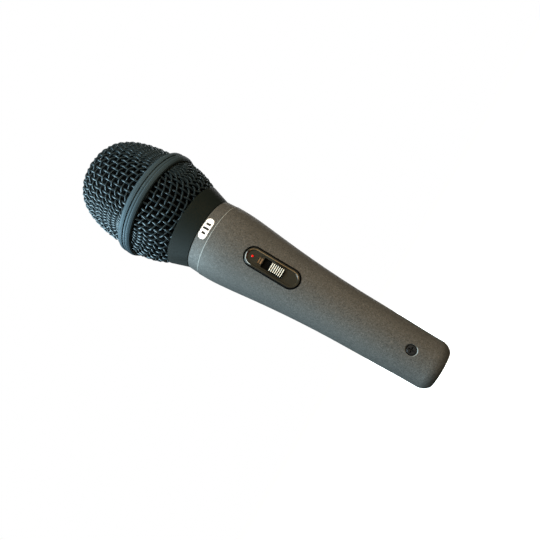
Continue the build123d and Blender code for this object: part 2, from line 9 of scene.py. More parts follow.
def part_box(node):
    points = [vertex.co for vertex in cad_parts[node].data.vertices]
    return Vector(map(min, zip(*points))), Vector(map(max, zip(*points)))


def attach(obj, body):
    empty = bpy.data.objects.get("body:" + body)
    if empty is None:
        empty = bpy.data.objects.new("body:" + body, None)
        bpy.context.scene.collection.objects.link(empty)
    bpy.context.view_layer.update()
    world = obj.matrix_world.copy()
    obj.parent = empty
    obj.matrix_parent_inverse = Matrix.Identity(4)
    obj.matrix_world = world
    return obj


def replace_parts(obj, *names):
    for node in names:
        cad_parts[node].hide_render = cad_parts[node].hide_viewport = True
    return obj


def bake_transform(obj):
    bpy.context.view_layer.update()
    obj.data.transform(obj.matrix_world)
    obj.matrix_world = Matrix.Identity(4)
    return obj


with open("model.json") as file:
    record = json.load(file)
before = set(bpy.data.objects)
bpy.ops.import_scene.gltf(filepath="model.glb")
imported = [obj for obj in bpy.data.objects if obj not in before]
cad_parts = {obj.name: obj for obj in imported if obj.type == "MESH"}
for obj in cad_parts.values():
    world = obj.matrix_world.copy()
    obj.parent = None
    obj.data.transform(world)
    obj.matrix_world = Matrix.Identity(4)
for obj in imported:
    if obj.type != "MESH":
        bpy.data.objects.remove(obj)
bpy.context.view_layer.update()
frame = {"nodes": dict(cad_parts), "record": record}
nodes = frame["nodes"]

MM = 0.001

# The woven wire's radius, how far it waves to each side, the weave's pitch, and points per cell
WIRE = 0.48 * MM
WAVE = 0.40 * MM
PITCH = 2.74 * MM
STEPS_PER_CELL = 6

# The switch lies on the handle's taper, which leans by this angle
SWITCH_TILT = math.radians(6.1)
OUTWARD = Vector((0, -math.cos(SWITCH_TILT), -math.sin(SWITCH_TILT)))
UP_HANDLE = Vector((0, -math.sin(SWITCH_TILT), math.cos(SWITCH_TILT)))

# The wave texture's ridges are this far apart at a scale of 1
WAVE_PERIOD = 0.314


# ------------------------------------------------------------------ materials
# Texture sizes are given as the size of one speck, ridge or thread, in metres.


def new_material(name):
    """An empty node material with its Principled shader and object coordinates."""
    material = bpy.data.materials.new(name)
    material.use_nodes = True
    tree = material.node_tree
    shader = tree.nodes["Principled BSDF"]
    coordinates = tree.nodes.new("ShaderNodeTexCoord").outputs["Object"]
    return material, tree, shader, coordinates


def add_noise(tree, coordinates, speck, detail=4.0, roughness=0.6):
    """Noise whose specks are about the given size."""
    node = tree.nodes.new("ShaderNodeTexNoise")
    node.inputs["Scale"].default_value = 1 / speck
    node.inputs["Detail"].default_value = detail
    node.inputs["Roughness"].default_value = roughness
    tree.links.new(coordinates, node.inputs["Vector"])
    return node.outputs["Fac"]


def add_math(tree, operation, first, second=0.0):
    """One Math node on two values, each a socket or a number."""
    node = tree.nodes.new("ShaderNodeMath")
    node.operation = operation
    for socket, value in zip(node.inputs, (first, second)):
        if isinstance(value, (int, float)):
            socket.default_value = value
        else:
            tree.links.new(value, socket)
    return node.outputs[0]


def add_range(tree, value, low, high, start=0.3, end=0.7):
    """A value mapped from start..end to low..high."""
    node = tree.nodes.new("ShaderNodeMapRange")
    for socket, number in zip(("From Min", "From Max", "To Min", "To Max"), (start, end, low, high)):
        node.inputs[socket].default_value = number
    tree.links.new(value, node.inputs["Value"])
    return node.outputs["Result"]


def add_mix(tree, factor, first, second):
    """A colour mixed by a factor. Each colour is a triple or a socket."""
    node = tree.nodes.new("ShaderNodeMix")
    node.data_type = "RGBA"
    tree.links.new(factor, node.inputs["Factor"])
    for socket, colour in zip((node.inputs[6], node.inputs[7]), (first, second)):
        if isinstance(colour, tuple):
            socket.default_value = (*colour, 1)
        else:
            tree.links.new(colour, socket)
    return node.outputs[2]


def add_bump(tree, height, depth, strength=1.0, under=None):
    """A bump whose height runs from 0 to 1 over the given depth in metres."""
    node = tree.nodes.new("ShaderNodeBump")
    node.inputs["Strength"].default_value = strength
    node.inputs["Distance"].default_value = depth
    tree.links.new(height, node.inputs["Height"])
    if under is not None:
        tree.links.new(under, node.inputs["Normal"])
    return node.outputs["Normal"]


def grained(
    name, colour, rough, metallic=0.0, speck=0.4 * MM, depth=0.01 * MM, vary=0.2, coat=0.0, sheen=0.0
):
    """A finish with fine grain: its colour, roughness and surface all vary a little."""
    material, tree, shader, coordinates = new_material(name)
    fine = add_noise(tree, coordinates, speck)
    broad = add_noise(tree, coordinates, speck * 25, detail=2.0)
    darker = tuple(channel * (1 - vary) for channel in colour)
    lighter = tuple(min(1.0, channel * (1 + vary)) for channel in colour)
    tone = add_mix(tree, add_range(tree, fine, 0, 1), darker, lighter)
    tone = add_mix(tree, add_range(tree, broad, 0, 0.5), tone, darker)
    tree.links.new(tone, shader.inputs["Base Color"])
    tree.links.new(add_range(tree, broad, rough * 0.85, min(1.0, rough * 1.15)), shader.inputs["Roughness"])
    tree.links.new(add_bump(tree, fine, depth), shader.inputs["Normal"])
    shader.inputs["Metallic"].default_value = metallic
    shader.inputs["Coat Weight"].default_value = coat
    shader.inputs["Coat Roughness"].default_value = 0.12
    shader.inputs["Sheen Weight"].default_value = sheen
    return material


def striped(name, colour, rough, metallic, pitch, axis, depth, coat=0.0):
    """A finish with fine parallel ridges across one axis, as laminations or windings have."""
    material, tree, shader, coordinates = new_material(name)
    wave = tree.nodes.new("ShaderNodeTexWave")
    wave.bands_direction = axis
    wave.inputs["Scale"].default_value = WAVE_PERIOD / pitch
    wave.inputs["Distortion"].default_value = 0.3
    tree.links.new(coordinates, wave.inputs["Vector"])
    ridge = wave.outputs["Fac"]
    tone = add_mix(tree, ridge, tuple(channel * 0.55 for channel in colour), colour)
    tree.links.new(tone, shader.inputs["Base Color"])
    tree.links.new(add_bump(tree, ridge, depth), shader.inputs["Normal"])
    fine = add_noise(tree, coordinates, pitch * 3)
    tree.links.new(add_range(tree, fine, rough * 0.8, rough * 1.2), shader.inputs["Roughness"])
    shader.inputs["Metallic"].default_value = metallic
    shader.inputs["Coat Weight"].default_value = coat
    return material


def woven(name, colour, pitch, depth):
    """A fine woven cloth: two crossed sets of threads."""
    material, tree, shader, coordinates = new_material(name)
    heights = []
    for axis in ("X", "Y"):
        wave = tree.nodes.new("ShaderNodeTexWave")
        wave.bands_direction = axis
        wave.inputs["Scale"].default_value = WAVE_PERIOD / pitch
        tree.links.new(coordinates, wave.inputs["Vector"])
        heights.append(wave.outputs["Fac"])
    thread = add_math(tree, "MAXIMUM", *heights)
    tone = add_mix(tree, thread, tuple(channel * 0.2 for channel in colour), colour)
    tree.links.new(tone, shader.inputs["Base Color"])
    tree.links.new(add_bump(tree, thread, depth), shader.inputs["Normal"])
    shader.inputs["Roughness"].default_value = 0.8
    shader.inputs["Sheen Weight"].default_value = 0.3
    return material


def furthest(node, direction):
    """How far a CAD node reaches along a direction."""
    return max(vertex.co.dot(direction) for vertex in nodes[node].data.vertices)


def add_near(tree, value, centre, margin):
    """One where a value lies within a margin of a centre, elsewhere nought."""
    near = add_math(tree, "COMPARE", value, centre)
    near.node.inputs[2].default_value = margin
    return near


def add_axes(tree, coordinates):
    """The three coordinates as separate values."""
    split = tree.nodes.new("ShaderNodeSeparateXYZ")
    tree.links.new(coordinates, split.inputs[0])
    return split.outputs["X"], split.outputs["Y"], split.outputs["Z"]


def add_along(tree, coordinates, direction):
    """How far a place lies along a direction."""
    node = tree.nodes.new("ShaderNodeVectorMath")
    node.operation = "DOT_PRODUCT"
    node.inputs[1].default_value = direction
    tree.links.new(coordinates, node.inputs[0])
    return node.outputs["Value"]


def add_length(tree, first, second):
    """The length of the hypotenuse over two sides."""
    squares = [add_math(tree, "MULTIPLY", side, side) for side in (first, second)]
    return add_math(tree, "SQRT", add_math(tree, "ADD", *squares))


def add_all(tree, *masks):
    """One where every mask is one."""
    product = masks[0]
    for mask in masks[1:]:
        product = add_math(tree, "MULTIPLY", product, mask)
    return product


def plate_reach(tree, coordinates):
    """Places beside the switch plate: along it from its middle, and the distance from its spine."""
    half_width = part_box("switch_plate")[1].x
    head_end = furthest("switch_plate", UP_HANDLE)
    tail_end = -furthest("switch_plate", -UP_HANDLE)
    spine = (head_end - tail_end) / 2 - half_width
    across = add_axes(tree, coordinates)[0]
    along = add_along(tree, coordinates, UP_HANDLE)
    along = add_math(tree, "SUBTRACT", along, (head_end + tail_end) / 2)
    on_spine = add_math(tree, "MINIMUM", add_math(tree, "MAXIMUM", along, -spine), spine)
    past_spine = add_math(tree, "SUBTRACT", along, on_spine)
    return across, along, add_length(tree, past_spine, across), half_width


def scuffs_and_painted_highlights(tree, coordinates, tone):
    """Scuffs at the tail's edge, and painted highlights: a pale line below the label, a crescent at the
    screw hole.

    The line and the crescent are painted colour that stands in for highlights. They don't follow the light.
    """
    x, y, height = add_axes(tree, coordinates)
    scratches = add_noise(tree, coordinates, 0.8 * MM, detail=6.0, roughness=0.8)
    tail_edge = add_range(tree, height, 1, 0, 0.0, 2.5 * MM)
    scuff = add_math(tree, "MULTIPLY", tail_edge, add_range(tree, scratches, 0, 0.5, 0.52, 0.62))
    tone = add_mix(tree, scuff, tone, (0.30, 0.30, 0.29))

    # A pale line on the step below the label: a painted highlight.
    line_height, line_margin = 109.22 * MM, 0.10 * MM
    painted_highlight_line = add_near(tree, height, line_height, line_margin)
    tone = add_mix(tree, painted_highlight_line, tone, (0.26, 0.28, 0.28))

    # A pale crescent on the screw hole's lower edge: a painted highlight.
    lip_radius, lip_margin = 2.50 * MM, 0.12 * MM
    screw_low, screw_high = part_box("insert_screw")
    above_screw = add_math(tree, "SUBTRACT", height, (screw_low.z + screw_high.z) / 2)
    lip = add_near(tree, add_length(tree, x, above_screw), lip_radius, lip_margin)
    lower_side = add_range(tree, above_screw, 1, 0, -1.9 * MM, -1.1 * MM)
    crescent = add_all(tree, lip, on_front(tree, y), lower_side)
    return add_mix(tree, crescent, tone, (0.24, 0.28, 0.30))


def on_front(tree, y):
    """One on the switch side, elsewhere nought."""
    return add_math(tree, "LESS_THAN", y, -5 * MM)


def dark_gap(tree, coordinates, tone):
    """Black on the walls of the switch plate's pocket and on a thin margin around it.

    It is painted colour that stands in for the shadow in the gap.
    """
    pocket_edge = 0.55 * MM
    y = add_axes(tree, coordinates)[1]
    reach, half_width = plate_reach(tree, coordinates)[2:]
    gap = add_math(tree, "LESS_THAN", reach, half_width + pocket_edge)
    return add_mix(tree, add_all(tree, gap, on_front(tree, y)), tone, (0.004, 0.004, 0.004))


def neck_thread(tree, coordinates):
    """The height of the screw thread on the neck, which rises 1 mm a turn above the collar's foot."""
    x, y, height = add_axes(tree, coordinates)
    turn = add_math(tree, "ARCTAN2", y, x)
    lead = add_math(tree, "SUBTRACT", add_math(tree, "MULTIPLY", height, math.tau / MM), turn)
    ridge = add_range(tree, add_math(tree, "SINE", lead), 0, 1, -1, 1)
    thread_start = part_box("grille_collar")[0].z + 0.15 * MM
    return add_math(tree, "MULTIPLY", ridge, add_math(tree, "GREATER_THAN", height, thread_start))


def handle_enamel():
    """Dark grey metallic enamel over a finely textured casting, with scuffs, painted highlights, painted
    shade and the neck's thread.
    """
    material, tree, shader, coordinates = new_material("handle_enamel")
    flake = add_noise(tree, coordinates, 0.45 * MM, detail=3.0)
    mottle = add_noise(tree, coordinates, 1.4 * MM, detail=3.0)
    cloud = add_noise(tree, coordinates, 16 * MM, detail=2.0)
    tone = add_mix(tree, add_range(tree, flake, 0, 1), (0.020, 0.021, 0.021), (0.138, 0.142, 0.142))
    tone = add_mix(tree, add_range(tree, mottle, 0, 0.5), tone, (0.046, 0.048, 0.048))
    tone = add_mix(tree, add_range(tree, cloud, 0, 0.25), tone, (0.078, 0.080, 0.078))
    # Scuffs, and painted highlights below the label and at the screw hole.
    tone = scuffs_and_painted_highlights(tree, coordinates, tone)
    # Painted shade: black in and around the switch plate's pocket.
    tone = dark_gap(tree, coordinates, tone)
    tree.links.new(tone, shader.inputs["Base Color"])
    tree.links.new(add_range(tree, mottle, 0.52, 0.66), shader.inputs["Roughness"])
    shader.inputs["Metallic"].default_value = 0.15
    grain = add_bump(tree, add_math(tree, "ADD", flake, mottle), 0.012 * MM)
    thread = add_bump(tree, neck_thread(tree, coordinates), 0.35 * MM, under=grain)
    tree.links.new(thread, shader.inputs["Normal"])
    return material


def ribbed_slide(rib_direction, top_height):
    """Black moulded slide whose rib tops are printed white."""
    material, tree, shader, coordinates = new_material("ribbed_slide")
    rise = add_along(tree, coordinates, rib_direction)
    fine = add_noise(tree, coordinates, 0.12 * MM)
    worn = add_math(tree, "ADD", rise, add_range(tree, fine, -0.02 * MM, 0.02 * MM))
    printed = add_range(tree, worn, 0, 1, top_height - 0.10 * MM, top_height - 0.04 * MM)
    tone = add_mix(tree, printed, (0.002, 0.002, 0.002), (0.66, 0.70, 0.68))
    tree.links.new(tone, shader.inputs["Base Color"])
    tree.links.new(add_range(tree, fine, 0.45, 0.60), shader.inputs["Roughness"])
    shader.inputs["Specular IOR Level"].default_value = 0.2
    tree.links.new(add_bump(tree, fine, 0.01 * MM), shader.inputs["Normal"])
    return material


def barred_label():
    """White enamelled label with three short dark bars of different heights, like a level meter."""
    material, tree, shader, coordinates = new_material("barred_label")
    low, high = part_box("badge")
    x, _, height = add_axes(tree, coordinates)
    bar_half_width = 0.52 * MM
    printed = 0.0
    for bar_x, bar_half_height in ((-2.1, 0.95), (0.0, 1.45), (2.1, 1.15)):
        across = add_near(tree, x, bar_x * MM, bar_half_width)
        along = add_near(tree, height, (low.z + high.z) / 2, bar_half_height * MM)
        printed = add_math(tree, "ADD", printed, add_math(tree, "MULTIPLY", across, along))
    fine = add_noise(tree, coordinates, 0.4 * MM)
    white = add_mix(tree, fine, (0.84, 0.86, 0.86), (0.92, 0.94, 0.94))
    tone = add_mix(tree, printed, white, (0.02, 0.02, 0.022))
    tree.links.new(tone, shader.inputs["Base Color"])
    tree.links.new(add_range(tree, fine, 0.30, 0.42), shader.inputs["Roughness"])
    tree.links.new(add_bump(tree, printed, 0.01 * MM), shader.inputs["Normal"])
    return material


def printed_bars(tree, coordinates, tone):
    """Two plain tan bars between the index dot and the slot."""
    dot_low, dot_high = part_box("index_dot")
    x, _, height = add_axes(tree, coordinates)
    inside = add_near(tree, x, 0.0, 1.25 * MM)
    printed = 0.0
    for below_dot in (3.2, 4.3):
        bar = add_near(tree, height, (dot_low.z + dot_high.z) / 2 - below_dot * MM, 0.3 * MM)
        printed = add_math(tree, "ADD", printed, add_all(tree, bar, inside))
    return add_mix(tree, printed, tone, (0.15, 0.095, 0.055))


def painted_rim(tree, coordinates, tone):
    """The plate's raised rim: a tan line along one side, a pale arc at the head end, a dark outer edge.

    All three are painted colour. The line and the arc stand in for highlights and the edge for a
    shadow, so they stay where they are in every view and light.
    """
    across, along, reach, half_width = plate_reach(tree, coordinates)
    crest = add_near(tree, reach, half_width - 0.85 * MM, 0.16 * MM)
    one_side = add_math(tree, "GREATER_THAN", across, 1.5 * MM)
    tone = add_mix(tree, add_all(tree, crest, one_side), tone, (0.150, 0.100, 0.052))
    head_end = add_range(tree, add_math(tree, "SUBTRACT", along, across), 0, 1, 11.6 * MM, 12.6 * MM)
    pale_arc = add_near(tree, reach, half_width - 0.58 * MM, 0.17 * MM)
    tone = add_mix(tree, add_all(tree, pale_arc, head_end), tone, (0.30, 0.38, 0.44))
    outer_edge = add_math(tree, "GREATER_THAN", reach, half_width - 0.26 * MM)
    return add_mix(tree, outer_edge, tone, (0.003, 0.003, 0.003))


def marked_plate():
    """Glossy brown-black enamel with its printed bars, and painted highlights and painted shade on its rim.
    """
    colour = (0.022, 0.021, 0.016)
    material = grained("plate_enamel", colour, 0.30, 0.0, 0.5 * MM, 0.002 * MM, 0.1, coat=0.25)
    tree = material.node_tree
    shader = tree.nodes["Principled BSDF"]
    enamel = shader.inputs["Base Color"].links[0].from_socket
    coordinates = tree.nodes.new("ShaderNodeTexCoord").outputs["Object"]
    tone = painted_rim(tree, coordinates, printed_bars(tree, coordinates, enamel))
    tree.links.new(tone, shader.inputs["Base Color"])
    return material


finishes = {
    "handle_paint": handle_enamel(),
    "collar_paint": grained("collar_enamel", (0.006, 0.0095, 0.009), 0.62, 0.0, 0.25 * MM, 0.004 * MM, 0.1),
    "band_paint": grained("band_enamel", (0.028, 0.045, 0.058), 0.58, 0.1, 0.25 * MM, 0.002 * MM, 0.08),
    "grille_wire": grained(
        "grille_wire", (0.015, 0.022, 0.027), 0.42, 0.10, 0.15 * MM, 0.002 * MM, coat=0.65
    ),
    "foam": grained("open_foam", (0.0015, 0.0015, 0.0018), 0.95, 0.0, 0.5 * MM, 0.3 * MM, 0.5),
    "insert_plastic": grained("insert_plastic", (0.012, 0.012, 0.013), 0.45, speck=0.3 * MM),
    "contact_metal": grained("silver_plate", (0.86, 0.84, 0.80), 0.16, 1.0, 0.5 * MM, 0.002 * MM, 0.08),
    "screw_black": grained("black_oxide", (0.030, 0.032, 0.036), 0.26, 0.5, 0.3 * MM, 0.004 * MM, coat=1.0),
    "core_steel": striped("core_laminations", (0.34, 0.34, 0.35), 0.45, 0.9, 0.5 * MM, "Y", 0.05 * MM),
    "winding_tape": grained("winding_tape", (0.70, 0.50, 0.08), 0.35, speck=0.8 * MM, coat=0.3),
    "plate_enamel": marked_plate(),
    "dot_red": grained("red_enamel", (0.58, 0.010, 0.008), 0.25, speck=0.3 * MM, vary=0.06, coat=0.6),
    "steel": grained("plain_steel", (0.52, 0.52, 0.53), 0.34, 1.0, 0.3 * MM, 0.004 * MM, 0.1),
    "phenolic": grained("phenolic_board", (0.17, 0.075, 0.025), 0.5, speck=0.3 * MM),
    "slide_black": ribbed_slide(OUTWARD, furthest("thumb_slide", OUTWARD)),
    "spring_brass": grained("spring_brass", (0.78, 0.56, 0.22), 0.25, 1.0, 0.4 * MM, 0.003 * MM, 0.1),
    "rubber_mount": grained("mount_rubber", (0.014, 0.014, 0.014), 0.75, speck=0.35 * MM, depth=0.02 * MM),
    "capsule_plastic": grained("capsule_plastic", (0.028, 0.028, 0.030), 0.5, speck=0.3 * MM),
    "felt": grained(
        "grey_felt", (0.16, 0.15, 0.13), 0.95, speck=0.25 * MM, depth=0.08 * MM, vary=0.4, sheen=0.5
    ),
    "magnet_metal": grained("sintered_magnet", (0.16, 0.16, 0.17), 0.5, 0.8, 0.2 * MM, 0.02 * MM),
    "copper": striped("copper_winding", (0.72, 0.28, 0.12), 0.3, 1.0, 0.12 * MM, "Z", 0.03 * MM, coat=0.4),
    "film_clear": grained(
        "polyester_film", (0.62, 0.58, 0.46), 0.22, speck=1.5 * MM, depth=0.01 * MM, coat=0.5
    ),
    "screen_cloth": woven("screen_cloth", (0.035, 0.035, 0.038), 0.3 * MM, 0.06 * MM),
    "badge_white": barred_label(),
    "lead_red": grained("red_insulation", (0.50, 0.02, 0.02), 0.4, speck=0.6 * MM, vary=0.1),
    "lead_black": grained("black_insulation", (0.012, 0.012, 0.012), 0.4, speck=0.6 * MM),
    "lead_yellow": grained("yellow_insulation", (0.70, 0.50, 0.03), 0.4, speck=0.6 * MM, vary=0.1),
    "lead_white": grained("white_insulation", (0.75, 0.75, 0.72), 0.4, speck=0.6 * MM, vary=0.05),
    "lead_blue": grained("blue_insulation", (0.02, 0.06, 0.38), 0.4, speck=0.6 * MM, vary=0.1),
}

def tint(slot, colour, coat_colour=(1.0, 1.0, 1.0), coat_roughness=0.12):
    """Tint the reflections of one slot's finish, and of its clear coat."""
    shader = finishes[slot].node_tree.nodes["Principled BSDF"]
    shader.inputs["Specular Tint"].default_value = (*colour, 1)
    shader.inputs["Coat Tint"].default_value = (*coat_colour, 1)
    shader.inputs["Coat Roughness"].default_value = coat_roughness


tint("grille_wire", (0.70, 0.90, 1.0), (0.80, 0.93, 1.0), 0.30)
tint("band_paint", (0.62, 0.86, 1.0))

for part in frame["record"]["subparts"]:
    slots = nodes[part["node"]].data.materials
    slots.clear()
    slots.append(finishes[part["material_slot"]])


# ------------------------------------------------------------------ pieces


def add_piece(name, mesh, slot, body):
    """Link a finished mesh as a piece that wears a record slot's finish and rides on a body."""
    piece = bpy.data.objects.new(name, mesh)
    bpy.context.scene.collection.objects.link(piece)
    mesh.materials.append(finishes[slot])
    mesh.shade_smooth()
    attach(piece, body)
    return piece


class Bowl:
    """A surface of revolution that a flat woven sheet is pressed onto.

    A place on it is given by two numbers: the arc length from the pole, split into its parts along
    X and Y, so that nothing special happens at the pole itself.
    """

    def __init__(self, profile):
        self.radii, self.heights = np.array(profile).T
        steps = np.hypot(np.diff(self.radii), np.diff(self.heights))
        self.arc = np.concatenate(([0.0], np.cumsum(steps)))
        self.reach = self.arc[-1]

    def point(self, place):
        distance = math.hypot(*place)
        radius = np.interp(distance, self.arc, self.radii)
        height = np.interp(distance, self.arc, self.heights)
        if distance < 1e-9:
            return np.array((0.0, 0.0, height))
        return np.array((radius * place[0] / distance, radius * place[1] / distance, height))

    def normal(self, place, outwards):
        nudge = 0.2 * MM
        across = self.point((place[0] + nudge, place[1])) - self.point((place[0] - nudge, place[1]))
        along = self.point((place[0], place[1] + nudge)) - self.point((place[0], place[1] - nudge))
        direction = np.cross(across, along)
        return outwards * direction / np.linalg.norm(direction)


def crossing(bowl, first, second, opposite, pitch):
    """The place one pitch from two neighbours, on the far side from the third, or None."""
    target_a, target_b = bowl.point(first), bowl.point(second)
    place = np.array(first) + np.array(second) - np.array(opposite)

    def misses(spot):
        here = bowl.point(spot)
        return np.array((np.linalg.norm(here - target_a), np.linalg.norm(here - target_b))) - pitch

    for _ in range(30):
        miss = misses(place)
        if abs(miss).max() < 1e-8:
            break
        nudge = 0.1e-3 * MM
        slopes = np.column_stack(
            [(misses(place + nudge * direction) - miss) / nudge for direction in np.eye(2)]
        )
        if abs(np.linalg.det(slopes)) < 1e-9:
            return None
        step = np.linalg.solve(slopes, miss)
        place = place - step * min(1.0, 0.5 * pitch / abs(step).max())
    if abs(misses(place)).max() > 1e-6 or np.linalg.norm(place - opposite) < 0.2 * pitch:
        return None
    return tuple(place)


def weave_places(bowl, pitch):
    """Every wire crossing of a square weave pressed onto a bowl: each cell's sides keep their length."""
    count = int(bowl.reach / pitch)
    places = {}
    for k in range(-count, count + 1):
        places[k, 0] = (k * pitch, 0.0)
        places[0, k] = (0.0, k * pitch)
    for side_x in (1, -1):
        for side_y in (1, -1):
            for total in range(2, 2 * count + 1):
                for i in range(1, total):
                    j = total - i
                    first = places.get((side_x * (i - 1), side_y * j))
                    second = places.get((side_x * i, side_y * (j - 1)))
                    opposite = places.get((side_x * (i - 1), side_y * (j - 1)))
                    if first and second and opposite:
                        place = crossing(bowl, first, second, opposite, pitch)
                        if place and math.hypot(*place) <= bowl.reach:
                            places[side_x * i, side_y * j] = place
    return places


def wire_runs(bowl, places, count, family, wave, lowest, highest, outwards, spin):
    """The centre lines of one family's wires, waving over and under the others, cut at two heights."""
    for i in range(-count, count + 1):
        run = []
        for j in range(-count, count):
            ends = [(i, j), (i, j + 1)] if family == 0 else [(j, i), (j + 1, i)]
            if ends[0] not in places or ends[1] not in places:
                if len(run) > 2:
                    yield run
                run = []
                continue
            start, end = (np.array(places[key]) for key in ends)
            over = 1 if (i + j + family) % 2 == 0 else -1
            for step in range(STEPS_PER_CELL):
                share = step / STEPS_PER_CELL
                place = start + (end - start) * share
                surface = bowl.point(place)
                if lowest <= surface[2] <= highest:
                    lift = wave * over * math.cos(math.pi * share)
                    x, y, z = surface + lift * bowl.normal(place, outwards)
                    run.append((x * spin[0] - y * spin[1], x * spin[1] + y * spin[0], z))
                elif len(run) > 2:
                    yield run
                    run = []
                else:
                    run = []
        if len(run) > 2:
            yield run


def woven_bowl(name, bowl, pitch, wire, lowest, highest, outwards, turn_degrees):
    """A pressed bowl of plain woven wire as one mesh."""
    places = weave_places(bowl, pitch)
    count = int(bowl.reach / pitch)
    spin = (math.cos(math.radians(turn_degrees)), math.sin(math.radians(turn_degrees)))
    curve = bpy.data.curves.new(name, "CURVE")
    curve.dimensions = "3D"
    curve.bevel_depth = wire
    curve.bevel_resolution = 1
    curve.use_fill_caps = True
    for family in (0, 1):
        for run in wire_runs(bowl, places, count, family, WAVE, lowest, highest, outwards, spin):
            spline = curve.splines.new("POLY")
            spline.points.add(len(run) - 1)
            spline.points.foreach_set("co", [number for point in run for number in (*point, 1.0)])
    holder = bpy.data.objects.new(name + "_path", curve)
    mesh = bpy.data.meshes.new_from_object(holder)
    bpy.data.objects.remove(holder)
    mesh.materials.clear()
    return mesh


def arc_through(first, middle, last, count):
    """Points on the circle through three points, from the first to the last."""
    (ax, ay), (bx, by), (cx, cy) = first, middle, last
    scale = 2 * (ax * (by - cy) + bx * (cy - ay) + cx * (ay - by))
    squares = [x * x + y * y for x, y in (first, middle, last)]
    centre_x = (squares[0] * (by - cy) + squares[1] * (cy - ay) + squares[2] * (ay - by)) / scale
    centre_y = (squares[0] * (cx - bx) + squares[1] * (ax - cx) + squares[2] * (bx - ax)) / scale
    radius = math.hypot(ax - centre_x, ay - centre_y)
    start = math.atan2(ay - centre_y, ax - centre_x)
    end = math.atan2(cy - centre_y, cx - centre_x)
    angles = np.linspace(start, end, count)
    return [(centre_x + radius * math.cos(angle), centre_y + radius * math.sin(angle)) for angle in angles]


# ------------------------------------------------------------------ grille

collar_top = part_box("grille_collar")[1].z
band_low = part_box("grille_band")[0]
front_low, front_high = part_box("grille_front_mesh")
rear_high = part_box("grille_rear_mesh")[1]
dome_base = front_low.z + 1.8 * MM
skin = WIRE + WAVE


def dome_profile(inset):
    """The ball's profile from its tip to its widest place, moved inwards. It is fuller than an ellipse."""
    radius, height = front_high.x - inset, front_high.z - dome_base - inset
    points = [(0.0, dome_base + height)]
    for half_degree in range(179, -1, -1):
        turn = math.radians(half_degree / 2)
        rise = dome_base + height * math.sin(turn) ** 1.045
        points.append((radius * math.cos(turn) ** 0.525, rise))
    return points


def rear_profile(inset):
    """The rear bowl's profile from the collar to the band, moved inwards square to its slope."""
    foot_radius, waist_radius = 19.45 * MM, rear_high.x - 1.5 * MM
    waist_rise, top_rise = 6.9 * MM, 15.8 * MM
    foot = (foot_radius - 0.9 * inset, collar_top + 0.44 * inset)
    middle = (waist_radius - 0.93 * inset, collar_top + waist_rise + 0.36 * inset)
    top = (rear_high.x - inset, collar_top + top_rise)
    return arc_through(foot, middle, top, 41)


# Each bowl runs on past what shows, so that the weave is even where it is cut off.
front_bowl = Bowl(dome_profile(skin) + [(front_high.x - skin, dome_base - 9 * MM)])
rear_bowl = Bowl(
    [(0.0, collar_top - 1.4 * MM), (9 * MM, collar_top - 1.3 * MM), (17.6 * MM, collar_top - 0.8 * MM)]
    + rear_profile(skin)
    + [(rear_high.x - skin, collar_top + 26 * MM)]
)

def add_wires(name, bowl, lowest, highest, outwards, turn_degrees, node):
    """One half of the grille, which stands for a CAD node."""
    mesh = woven_bowl(name, bowl, PITCH, WIRE, lowest, highest, outwards, turn_degrees)
    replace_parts(add_piece(name, mesh, "grille_wire", "grille_head"), node)


add_wires("front_wires", front_bowl, dome_base - 1.0 * MM, math.inf, 1, -2.0, "grille_front_mesh")
rear_cuts = (collar_top - 0.5 * MM, band_low.z + 1.2 * MM)
add_wires("rear_wires", rear_bowl, *rear_cuts, -1, -4.0, "grille_rear_mesh")


# ------------------------------------------------------------------ foam liner


def lathe_foam(name, profile, pores, node):
    """A closed ring or cap of foam turned about Z, its skin pitted by open pores."""
    sides = 144
    rings = []
    vertices = []
    for radius, height in profile:
        if radius < 1e-6:
            rings.append([len(vertices)] * sides)
            vertices.append((0.0, 0.0, height))
            continue
        rings.append(range(len(vertices), len(vertices) + sides))
        for side in range(sides):
            turn = math.tau * side / sides
            spot = Vector((radius * math.cos(turn), radius * math.sin(turn), height))
            pit = pores * (0.5 + 0.5 * noise.noise(spot / (0.9 * MM)))
            vertices.append((spot.x * (1 - pit / radius), spot.y * (1 - pit / radius), height))
    closed = profile[0][0] > 1e-6
    pairs = list(zip(rings, rings[1:])) + ([(rings[-1], rings[0])] if closed else [])
    faces = []
    for lower, upper in pairs:
        for side in range(sides):
            after = (side + 1) % sides
            corners = dict.fromkeys((lower[side], lower[after], upper[after], upper[side]))
            faces.append(tuple(corners))
    mesh = bpy.data.meshes.new(name)
    mesh.from_pydata(vertices, [], faces)
    piece = add_piece(name, mesh, "foam", "foam_liner")
    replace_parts(piece, node)


PORES = 0.25 * MM
SKIN_CLEARANCE = 0.05 * MM
FOAM_THICKNESS = 5 * MM
LINER_BORE = 16.3 * MM

foam_low, foam_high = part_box("front_foam")
liner_inset = front_high.x - foam_high.x
cap = dome_profile(liner_inset + SKIN_CLEARANCE)[::3]
hollow = dome_profile(liner_inset + FOAM_THICKNESS)[::6]
cap_ends = [(cap[-1][0], foam_low.z), (hollow[-1][0], foam_low.z)]
lathe_foam("ball_foam", cap + cap_ends + hollow[::-1], PORES, "front_foam")

skirt_low, skirt_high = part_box("rear_foam")
skirt = [point for point in rear_profile(liner_inset + SKIN_CLEARANCE) if point[1] > skirt_low.z]
skirt_top = [(skirt[-1][0], skirt_high.z - 3 * MM), (cap[-1][0], skirt_high.z)]
skirt_bore = [(LINER_BORE, skirt_high.z), (LINER_BORE, skirt[0][1])]
lathe_foam("skirt_foam", skirt + skirt_top + skirt_bore, PORES, "rear_foam")


# ------------------------------------------------------------------ diaphragm surround


SECTORS = 12
FILM = 0.1 * MM
CORRUGATION = 0.05 * MM
FLAT_RIM = 1.2 * MM
COLUMNS, ROWS = 12, 14

surround_low, surround_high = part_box("diaphragm_surround")
surround_rim = surround_high.x
surround_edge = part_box("diaphragm_dome")[1].x
rim_top = surround_low.z + 0.2 * MM


